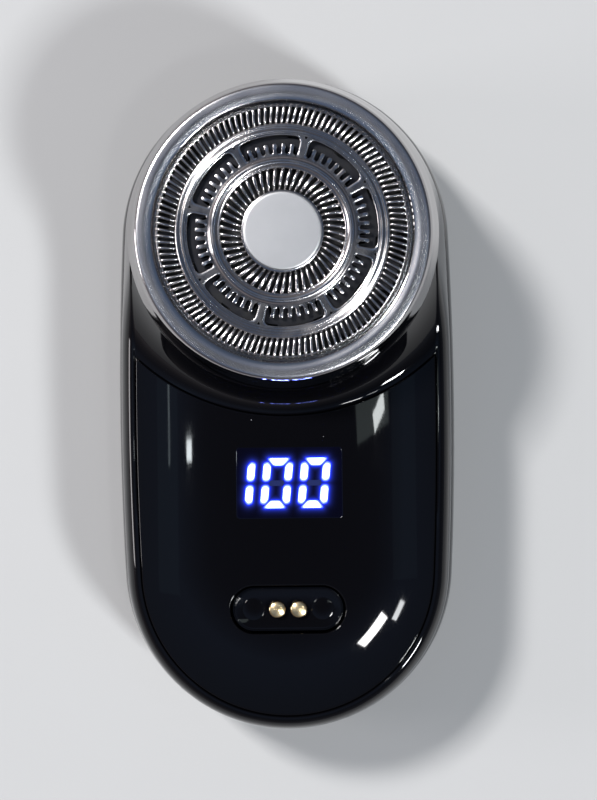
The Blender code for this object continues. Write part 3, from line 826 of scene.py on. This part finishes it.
def distanceToBars(points, bars):
    # shortest distance to any bar's outline, and zero inside one
    best = np.full(len(points), 1.0)
    for bar in bars:
        start, end = bar, np.roll(bar, -1, axis=0)
        run = end - start
        towards = points[:, None] - start[None]
        along = np.einsum("pij,ij->pi", towards, run) / (np.einsum("ij,ij->i", run, run) + 1e-15)
        share = np.clip(along, 0, 1)
        away = np.linalg.norm(towards - share[..., None] * run[None], axis=2).min(axis=1)
        crosses = (start[None, :, 1] > points[:, None, 1]) != (end[None, :, 1] > points[:, None, 1])
        at = start[None, :, 0] + (points[:, None, 1] - start[None, :, 1]) * run[None, :, 0] \
            / np.where(np.abs(run[None, :, 1]) < 1e-12, 1e-12, run[None, :, 1])
        inside = (crosses & (points[:, None, 0] < at)).sum(axis=1) % 2 == 1
        best = np.minimum(best, np.where(inside, 0, away))
    return best


def makeWindow(lit, finish):
    # a thin rounded sheet just over the panel; "halo", the painted glow round the figures, fades with the
    # distance from the nearest lit bar
    columns, rows = window["steps"]
    u, v = np.meshgrid(np.linspace(-1, 1, columns), np.linspace(-1, 1, rows))
    halfX, halfY = window["half"]
    corner, lift = window["corner"], window["lift"]
    x, y = u * halfX, v * halfY
    pastX, pastY = np.maximum(np.abs(x) - halfX + corner, 0), np.maximum(np.abs(y) - halfY + corner, 0)
    over = np.maximum(pastX, pastY)
    shrink = np.where(over > 0, over / np.maximum(np.hypot(pastX, pastY), 1e-12), 1.0)
    x = np.sign(x) * (np.minimum(np.abs(x), halfX - corner) + pastX * shrink)
    y = np.sign(y) * (np.minimum(np.abs(y), halfY - corner) + pastY * shrink)
    flat = np.stack([x.ravel(), y.ravel()], -1) + window["middle"]
    halo = np.exp(-distanceToBars(flat, lit) / window["halo"])
    edge = np.maximum(np.abs(u), np.abs(v)).ravel() > 0.999
    height = panelTop(flat[:, 0], flat[:, 1])
    top, under = atHeight(flat, height + np.where(edge, 0.0, lift)), atHeight(flat, height - lift)
    upper = gridQuads(rows, columns, closeColumns=False)
    lower = upper[:, ::-1] + rows * columns
    rim = np.concatenate([np.arange(columns), np.arange(1, rows) * columns + columns - 1,
                          rows * columns - 2 - np.arange(columns - 1), np.arange(rows - 2, 0, -1) * columns])
    after = np.roll(rim, -1)
    wall = np.stack([rim + rows * columns, after + rows * columns, after, rim], -1)
    quads = np.concatenate([upper, lower, wall])
    piece = pieceFrom("displayWindow", np.concatenate([top, under]), quads, finish, sharp=60)
    attribute = piece.data.attributes.new("halo", "FLOAT", "POINT")
    attribute.data.foreach_set("value", np.concatenate([halo, halo]).astype(np.float32))
    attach(piece, "body")


litLook = {"edge": (0.05, 0.08, 1.0), "core": (0.24, 0.32, 1.0), "strength": (2.5, 70.0)}
unlitLook = {"colour": (0.003, 0.004, 0.012), "tint": (0.004, 0.006, 0.016),
             "glow": (0.016, 0.024, 0.11, 1.0), "strength": 0.9}
smokedLook = {"colour": (0.001, 0.001, 0.003, 1.0), "far": (0.025, 0.04, 0.30), "near": (0.008, 0.03, 1.0),
              "strength": (0.01, 1.61), "refraction": 1.38}


def litSegments():
    # blue-white light-emitting bars: whiter in the middle, blue along the edge, with a little unevenness
    desk = NodeDesk("litSegments")
    core = desk.node("ShaderNodeAttribute", attribute_name="core").outputs["Fac"]
    uneven = desk.ramp(desk.noise(700, 2), 0.94, 1.06)
    desk.set(Base_Color=(0.02, 0.02, 0.05, 1.0), Roughness=desk.ramp(desk.noise(140, 5), 0.03, 0.08),
             Emission_Color=desk.colours(core, litLook["edge"], litLook["core"]),
             Emission_Strength=desk.maths("MULTIPLY", desk.ramp(core, *litLook["strength"]), uneven))
    return desk.material


def unlitSegments():
    # bars that are off, given a painted faint glow that stands in for the light of their neighbours
    desk = NodeDesk("unlitSegments")
    desk.set(Base_Color=desk.colours(desk.noise(700, 2), unlitLook["colour"], unlitLook["tint"]),
             Roughness=desk.ramp(desk.noise(140, 5), 0.03, 0.08), Emission_Color=unlitLook["glow"],
             Emission_Strength=unlitLook["strength"])
    return desk.material


def smokedWindow():
    # smoked lens: near black, with a painted glow: a faint navy glow of its own and the figures' halo
    # scattered in it
    desk = NodeDesk("smokedWindow")
    halo = desk.node("ShaderNodeAttribute", attribute_name="halo").outputs["Fac"]
    haze = desk.ramp(desk.noise(120, 4), 0.75, 1.2)
    glow = desk.maths("MULTIPLY", desk.ramp(halo, *smokedLook["strength"]), haze)
    rough = desk.ramp(desk.noise(140, 5), 0.03, 0.07, 0.35, 0.75)
    tint = desk.colours(halo, smokedLook["far"], smokedLook["near"])
    desk.set(Base_Color=smokedLook["colour"], Roughness=rough, Emission_Color=tint, Emission_Strength=glow,
             IOR=smokedLook["refraction"])
    return desk.material


litBars, unlitBars = figureBars()
makeWindow(litBars, smokedWindow())
makeBars("displayFigures", litBars, litSegments())
makeBars("displayUnlitBars", unlitBars, unlitSegments())
print("display made")


# head: plated collar, and the net with its rings, slotted tracks and cap

# the collar's section is a list of (radius, height) in millimetres: over the top, down the flare, then inside
collar = {"outer": [(19.3, 33.1), (20.3, 33.07), (20.64, 32.88), (20.88, 32.3), (21.2, 31.0), (21.7, 29.2),
                    (22.05, 27.9), (22.0, 27.6)],
          "inner": [(19.3, 27.6), (19.3, 32.1), (18.15, 32.1), (18.15, 32.9)], "cornerRadius": 0.3 * mm}
net = {"faceZ": 33.5 * mm, "thickness": 0.45 * mm, "windows": 8, "firstWindow": 7.5, "teeth": 6,
       "toothPitch": 5.9, "toothWidth": 3.0, "toothTaper": 0.15, "windowHalf": 19.35, "root": 10.77 * mm,
       "tip": 12.15 * mm, "windowEdge": 13.26 * mm, "plateInner": 10.3 * mm, "plateOuter": 13.5 * mm,
       "bevel": 0.1 * mm, "toothCurve": 0.28, "windowCurve": 0.85, "arcRadius": 12.0, "edgeSteps": 26}
# turned parts of the net, each a list of (radius, height) in millimetres and the rounding of its corners
netRings = {
    "netHub": ([(0.6, 32.9), (5.78, 32.9), (5.78, 33.12), (5.5, 33.2), (0.6, 33.2)], 0.08),
    "netInnerRing": ([(8.6, 32.7), (10.45, 32.7), (10.45, 33.49), (10.25, 33.56), (10.08, 33.72),
                      (9.85, 33.82), (9.6, 33.84), (9.3, 33.78), (9.12, 33.64), (9.0, 33.56), (8.92, 33.6),
                      (8.8, 33.6), (8.7, 33.5), (8.6, 33.3)], 0.14),
    "netDoubleRidge": ([(13.4, 32.8), (15.02, 32.8), (15.02, 33.3), (14.9, 33.52), (14.72, 33.62),
                        (14.55, 33.6), (14.38, 33.5), (14.22, 33.48), (14.08, 33.56), (13.92, 33.62),
                        (13.76, 33.58), (13.62, 33.5), (13.4, 33.5)], 0.12),
    "netOuterWall": ([(17.3, 32.3), (17.35, 32.95), (17.6, 32.95), (17.72, 32.6), (17.75, 31.8), (18.8, 31.8),
                      (18.8, 31.4), (17.3, 31.4)], 0.1),
}
# slotted tracks: how many bars, their path as (radius, height), widths at both ends, lean in degrees, depth
netTracks = {
    "netOuterTrack": (124, [(14.85, 33.22), (15.05, 33.36), (15.3, 33.48), (16.2, 33.52), (17.1, 33.5),
                            (17.45, 33.42), (17.7, 33.2), (17.86, 32.8), (17.9, 32.3)],
                      (0.40, 0.47), -1.8, 0.75),
    "netInnerTrack": (50, [(5.65, 33.02), (5.95, 33.16), (6.2, 33.34), (6.45, 33.46), (7.4, 33.52),
                           (8.2, 33.5), (8.5, 33.42), (8.75, 33.3)],
                      (0.36, 0.58), -5.0, 0.75),
}
barSection = [(-0.5, -1.0), (0.5, -1.0), (0.5, -0.35), (0.42, -0.12), (0.2, 0.0), (-0.2, 0.0),
              (-0.42, -0.12), (-0.5, -0.35)]
cap = {"profile": [(0, 33.2), (5.2, 33.2), (5.45, 33.32), (5.5, 33.5), (5.5, 33.74), (5.38, 33.87),
                   (5.15, 33.9), (0, 33.9)], "rounding": 0.1 * mm}


def makeCollar():
    # a closed section turned about the head's axis
    profile = np.array(collar["outer"] + collar["inner"]) * mm
    section = roundedLoop(profile[::-1], collar["cornerRadius"], 6)
    piece = turnedPiece("headCollar", section, chrome, 360, closed=True, sharp=45)
    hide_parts("head_collar")
    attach(piece, "head")


def netPiece(piece, stands=False):
    if stands:
        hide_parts("shaving_net")
    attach(piece, "net")


def makeNetRings():
    # turned parts of the net: hub under the cap, polished inner ring, double ridge, and the outer wall
    for name, (profile, radius) in netRings.items():
        section = roundedLoop(np.array(profile[::-1]) * mm, radius * mm, 5)
        netPiece(turnedPiece(name, section, steel, 288, closed=True, sharp=50), name == "netHub")


def windowOutline():
    # one window in (angle, radius): toothed inner edge, then the plain side, outer edge and other side
    width, taper, half = net["toothWidth"] / 2, net["toothTaper"], net["windowHalf"]
    root, tip, edge = net["root"] / mm, net["tip"] / mm, net["windowEdge"] / mm
    inner = [(-half, root)]
    for tooth in range(net["teeth"]):
        middle = (tooth - (net["teeth"] - 1) / 2) * net["toothPitch"]
        inner += [(middle - width - taper, root), (middle - width, tip), (middle + width, tip),
                  (middle + width + taper, root)]
    inner.append((half, root))
    points = np.array(inner + [(half, edge), (-half, edge)])
    # corners are rounded on the flattened arc, tightly at the teeth and widely at the outer edge
    arc = np.stack([np.radians(points[:, 0]) * net["arcRadius"], points[:, 1]], -1)
    small, large = roundedLoop(arc, net["toothCurve"], 7), roundedLoop(arc, net["windowCurve"], 7)
    smooth = np.concatenate([small[:-14], large[-14:]])
    smooth = np.stack([np.degrees(smooth[:, 0] / net["arcRadius"]), smooth[:, 1]], -1)
    across = np.linspace(smooth[-8, 0], smooth[-7, 0], net["edgeSteps"])[1:-1]
    return np.concatenate([smooth[:-7], np.stack([across, np.full(len(across), edge)], -1), smooth[-7:]])


def offsetLoop(loop, distance):
    # a closed flat loop moved along its own normals, measured between each point's two neighbours
    along = np.roll(loop, -1, axis=0) - np.roll(loop, 1, axis=0)
    along /= np.linalg.norm(along, axis=1, keepdims=True)
    return loop + distance * np.stack([along[:, 1], -along[:, 0]], -1)


def makeNetPlate():
    # equal sectors, each lofted from its border to the window's edge, over the bevel, down and back below
    outline = windowOutline()
    half, root, edge = net["windowHalf"], net["root"] / mm, net["windowEdge"] / mm
    onInner = (np.abs(outline[:, 0]) < half - 1e-6) & (outline[:, 1] < net["tip"] / mm + 0.2)
    onOuter = (outline[:, 1] > edge - 0.27) & (np.abs(outline[:, 0]) < half - 0.01)
    onInner &= ~onOuter
    side = ~onInner & ~onOuter
    share = np.clip((outline[:, 1] - root) / (edge - root), 0, 1)
    sectorHalf = 180.0 / net["windows"]
    borderAngle = np.where(side, np.sign(outline[:, 0]) * sectorHalf, outline[:, 0] * sectorHalf / half)
    inner, outer = net["plateInner"] / mm, net["plateOuter"] / mm
    borderRadius = np.where(onInner, inner, np.where(onOuter, outer, inner + (outer - inner) * share))
    flat = lambda turn, radius: np.stack([radius * np.sin(turn), radius * np.cos(turn)], -1) * mm
    hole = flat(np.radians(outline[:, 0]), outline[:, 1])
    border = flat(np.radians(borderAngle), borderRadius)
    area = np.sum(hole[:, 0] * np.roll(hole[:, 1], -1) - np.roll(hole[:, 0], -1) * hole[:, 1])
    outwards = net["bevel"] * np.sign(area)
    top, low = net["faceZ"], net["faceZ"] - net["thickness"]
    wide = offsetLoop(hole, outwards)
    rings = [(border, low), (border, top), (between(border, wide, 0.5), top), (wide, top),
             (offsetLoop(hole, outwards * 0.3), top - net["bevel"] * 0.35), (hole, top - net["bevel"]),
             (hole, low), (between(hole, border, 0.5), low)]
    sector = np.stack([atHeight(ring, height) for ring, height in rings])
    quads = gridQuads(len(rings), sector.shape[1], closeRows=True)
    points = []
    for window in range(net["windows"]):
        turn = math.radians(90 - net["firstWindow"] - window * 360.0 / net["windows"])
        x = sector[..., 0] * math.cos(turn) + sector[..., 1] * math.sin(turn)
        y = -sector[..., 0] * math.sin(turn) + sector[..., 1] * math.cos(turn) + headY
        points.append(np.stack([x, y, sector[..., 2]], -1).reshape(-1, 3))
    quads = patchQuads(quads, net["windows"], sector.shape[0] * sector.shape[1])
    netPiece(pieceFrom("netWindowPlate", np.concatenate(points), quads, steel, sharp=40))


def makeBarTrack(name, bars, path, width, lean, drop):
    # narrow bars round the head, each a rounded section carried along a leaning path of (radius, height)
    path, section = np.array(path), np.array(barSection)
    share = (path[:, 0] - path[0, 0]) / (path[-1, 0] - path[0, 0])
    turn = np.arange(bars) * tau / bars
    angle = turn[:, None] + np.radians(lean) * share[None]
    radius = path[None, :, 0] * mm
    widths = np.interp(share, [0, 1], width)[None, :, None] * mm
    across = section[None, None, :, 0] * widths
    depth = section[None, None, :, 1] * drop * mm
    x = radius[..., None] * np.cos(angle)[..., None] - across * np.sin(angle)[..., None]
    y = headY + radius[..., None] * np.sin(angle)[..., None] + across * np.cos(angle)[..., None]
    z = np.broadcast_to(path[None, :, 1, None] * mm + depth, x.shape)
    points = np.stack([x, y, z], -1)
    # both ends close on a point in the middle of the section
    count = len(section)
    first, last = (np.repeat(points[:, end].mean(axis=2, keepdims=True), count, axis=2)
                   for end in (slice(0, 1), slice(-1, None)))
    points = np.concatenate([first, points, last], axis=1)
    quads = patchQuads(gridQuads(points.shape[1], count), bars, points.shape[1] * count)
    netPiece(pieceFrom(name, points.reshape(-1, 3), quads, steel, sharp=50, weld=True))


def makeCap():
    # a plain disc with a soft edge
    profile = rounded(np.array(cap["profile"]) * mm, cap["rounding"], 4)
    piece = turnedPiece("netCap", profile, satin, 160, sharp=50)
    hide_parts("net_cap")
    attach(piece, "net")


makeCollar()
makeNetRings()
makeNetPlate()
for trackName, track in netTracks.items():
    makeBarTrack(trackName, *track)
makeCap()
print("head made")


# drive spring: a coil of wire about the head's axis; on the shaver it gives way when the net is pressed in

spring = {"turns": 2, "wire": 0.18 * mm, "steps": 40, "sides": 8, "keep": 0.78}


def makeSpring():
    # a round wire along a helix about the head's axis, shrunk to a point at both ends so that it is closed
    low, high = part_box("drive_spring")
    wire = spring["wire"]
    share = np.linspace(0, 1, spring["turns"] * spring["steps"] + 1)
    share = np.concatenate([share[:1], share, share[-1:]])[:, None]
    thick = np.full_like(share, wire)
    thick[[0, -1]] = 0
    turn = share * spring["turns"] * tau
    around = np.arange(spring["sides"])[None] * tau / spring["sides"]
    reach = (high[0] - low[0]) / 2 - wire + thick * np.cos(around)
    height = low[2] + wire + (high[2] - low[2] - 2 * wire) * share + thick * np.sin(around)
    points = np.stack([reach * np.cos(turn), headY + reach * np.sin(turn), height], -1)
    quads = gridQuads(len(share), spring["sides"])
    piece = pieceFrom("driveSpring", points, quads, motorSteel, sharp=50, weld=True)
    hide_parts("drive_spring")
    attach(piece, "rotor")
    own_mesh(piece)


makeSpring()
print("drive spring made")


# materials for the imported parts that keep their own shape

keptFinishes = {
    rubber: ["housing_gasket", "button_seal", "head_seal", "shaft_seal"],
    matte: ["net_retainer", "cutter_carrier", "display_module", "motor_end_cap", "tact_switch"],
    board: ["main_board", "switch_board"],
    foil: ["battery_cell"],
    foam: ["battery_pad"],
    motorSteel: ["motor_can", "motor_rotor", "motor_shaft", "motor_bracket",
                 "case_screw_1", "case_screw_2", "case_screw_3", "case_screw_4"],
    brass: ["motor_bearing"],
    nylon: ["drive_coupling"],
    black: ["power_button"],
    shadedCutterSteel: ["cutter_blade"],
}


def finishKept():
    for finish, names in keptFinishes.items():
        for name in names:
            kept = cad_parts[name].data.materials
            for place in range(len(kept)):
                kept[place] = finish
            if not len(kept):
                kept.append(finish)


finishKept()
print("kept parts finished")


# floor, world, lights and camera

floorLook = {"half": 3000 * mm, "colour": (0.33, 0.33, 0.33), "below": 0.02 * mm}
# the world's stops are (height above the horizon as a sine, colour)
worldLook = {"stops": ((0.0, (0.42, 0.42, 0.43)), (0.08, (0.34, 0.34, 0.35)), (0.3, (0.18, 0.18, 0.185)),
                       (0.7, (0.06, 0.07, 0.09)), (0.9, (0.10, 0.15, 0.22)), (0.965, (0.12, 0.19, 0.31)),
                       (0.988, (0.025, 0.035, 0.055)), (1.0, (0.012, 0.014, 0.018))),
             "cool": (0.55, 0.62, 0.75), "warm": (1.45, 1.3, 1.32)}
cameraLook = {"place": (4.97, -2.92, 309.96), "aim": (1.716, 0.485, 10.0), "roll": -0.643, "lens": 89.93}


lightAim = (0.0, 0.0, 20.0)
# turn, lean, distance and size in millimetres, power, colour
softLights = {"upperLeft": (140, 38, 1600, 245, 34.6, (1.0, 0.985, 0.98)),
              "lowerRight": (-42, 42, 1600, 206, 24.6, (0.95, 0.98, 1.0)),
              "lowLeft": (180, 72, 600, 160, 1.2, (1.0, 0.96, 0.98))}
# where it shows in the panel, its width and length in millimetres, radiance, colour, turn
glossCards = {"windowFar": (13.4, -1.4, 26, 10, 30.0, (0.95, 1.0, 1.0), 25),
              "windowGlow": (12.6, 0.2, 70, 30, 1.3, (0.85, 1.0, 0.98), 8),
              "lampRight": (12.3, -32.9, 22, 56, 80.0, (1.0, 1.0, 1.0), -38),
              "lampRightSmall": (15.9, -30.1, 14, 34, 36.0, (0.95, 0.98, 1.0), -28),
              "lampLeft": (-14.0, -6.8, 12, 10, 42.0, (0.9, 0.97, 1.0)),
              "frameLeft": (-17.2, -12.0, 60, 150, 0.12, (0.5, 0.8, 1.0)),
              "frameLeftEdge": (-16.9, -2.5, 5, 40, 3.2, (0.8, 0.95, 1.0)),
              "frameRight": (17.0, -10.0, 70, 120, 0.1, (0.5, 0.8, 1.0))}


def makeFloor():
    # one large square just under the object
    half = floorLook["half"]
    level = cadBox[0][2] - floorLook["below"]
    corners = np.array([(-half, -half, level), (half, -half, level),
                        (half, half, level), (-half, half, level)])
    desk = NodeDesk("paleFloor")
    low = tuple(value * 0.985 for value in floorLook["colour"])
    desk.set(Base_Color=desk.colours(desk.noise(14, 5), low, floorLook["colour"]),
             Roughness=desk.ramp(desk.noise(60, 3), 0.75, 0.9),
             Normal=desk.bump(desk.noise(900, 3), 0.00003, 0.4))
    floor = pieceFrom("floor", corners, [[0, 1, 2, 3]], desk.material, flip=False)


def makeWorld():
    # brightness by height above the horizon, dark overhead; cooler to the right, warmer to the left
    world = bpy.data.worlds.new("studio")
    world.use_nodes = True
    tree = world.node_tree
    towards = tree.nodes.new("ShaderNodeTexCoord")
    split = tree.nodes.new("ShaderNodeSeparateXYZ")
    tree.links.new(towards.outputs["Generated"], split.inputs[0])
    height = tree.nodes.new("ShaderNodeValToRGB")
    tree.links.new(split.outputs["Z"], height.inputs[0])
    stops = height.color_ramp.elements
    stops.remove(stops[1])
    for place, (position, colour) in enumerate(worldLook["stops"]):
        stop = stops[0] if place == 0 else stops.new(position)
        stop.position, stop.color = position, (*colour, 1.0)
    side = tree.nodes.new("ShaderNodeMapRange")
    side.inputs["From Min"].default_value = -1.0
    tree.links.new(split.outputs["X"], side.inputs["Value"])
    tint = tree.nodes.new("ShaderNodeMix")
    tint.data_type = "RGBA"
    tree.links.new(side.outputs["Result"], tint.inputs[0])
    tint.inputs[6].default_value = (*worldLook["warm"], 1)
    tint.inputs[7].default_value = (*worldLook["cool"], 1)
    product = tree.nodes.new("ShaderNodeMix")
    product.data_type, product.blend_type = "RGBA", "MULTIPLY"
    product.inputs[0].default_value = 1.0
    tree.links.new(height.outputs[0], product.inputs[6])
    tree.links.new(tint.outputs[2], product.inputs[7])
    tree.links.new(product.outputs[2], tree.nodes["Background"].inputs["Color"])
    bpy.context.scene.world = world


def softLight(name, turn, lean, away, size, power, colour):
    # an area light whose direction from the object turns from +X, anticlockwise, and leans from overhead
    turn, lean = math.radians(turn), math.radians(lean)
    towards = Vector((math.sin(lean) * math.cos(turn), math.sin(lean) * math.sin(turn), math.cos(lean)))
    light = bpy.data.lights.new(name, "AREA")
    light.shape = "RECTANGLE"
    light.size = light.size_y = size * mm
    light.energy = power
    light.color = colour
    lamp = bpy.data.objects.new(name, light)
    lamp.location = (Vector(lightAim) + towards * away) * mm
    lamp.rotation_euler = towards.to_track_quat("Z", "Y").to_euler()
    bpy.context.scene.collection.objects.link(lamp)


def glossCard(name, x, y, across, along, radiance, colour=(1.0, 1.0, 1.0), turn=0.0, away=600.0):
    # a small bright card, placed where the panel's crown at (x, y) millimetres mirrors what the lens sees
    step = 0.01
    height = lambda x, y: float(panelTop(np.float64(x * mm), np.float64(y * mm))) / mm
    slopeX = (height(x + step, y) - height(x - step, y)) / (2 * step)
    slopeY = (height(x, y + step) - height(x, y - step)) / (2 * step)
    point = Vector((x, y, height(x, y)))
    normal = Vector((-slopeX, -slopeY, 1)).normalized()
    seen = (point - Vector(cameraLook["place"])).normalized()
    towards = seen - 2 * seen.dot(normal) * normal
    light = bpy.data.lights.new(name, "AREA")
    light.shape = "RECTANGLE"
    light.size, light.size_y = across * mm, along * mm
    light.energy = radiance * math.pi * across * along * mm * mm
    light.color = colour
    card = bpy.data.objects.new(name, light)
    facing = Vector((0, 0, 1)).rotation_difference(towards).to_matrix()
    spin = Matrix.Rotation(math.radians(turn), 3, "Z")
    card.matrix_world = Matrix.LocRotScale((point + towards * away) * mm, facing @ spin, None)
    bpy.context.scene.collection.objects.link(card)


def makeCamera():
    place, aim = Vector(cameraLook["place"]), Vector(cameraLook["aim"])
    forward = (aim - place).normalized()
    right = forward.cross(Vector((0, 1, 0))).normalized()
    up = right.cross(forward)
    roll = math.radians(cameraLook["roll"])
    turned = right * math.cos(roll) + up * math.sin(roll)
    upright = up * math.cos(roll) - right * math.sin(roll)
    data = bpy.data.cameras.new("camera")
    data.lens, data.sensor_width, data.sensor_fit = cameraLook["lens"], 36.0, "AUTO"
    data.clip_start, data.clip_end = 0.01, 10.0
    camera = bpy.data.objects.new("camera", data)
    facing = Matrix((turned, upright, -forward)).transposed()
    camera.matrix_world = Matrix.LocRotScale(place * mm, facing, None)
    bpy.context.scene.collection.objects.link(camera)
    bpy.context.scene.camera = camera


makeFloor()
makeWorld()
for lightName, look in softLights.items():
    softLight(lightName, *look)
for cardName, look in glossCards.items():
    glossCard(cardName, *look)
makeCamera()
bpy.context.scene.view_settings.view_transform = "Standard"
print("stage and camera ready")
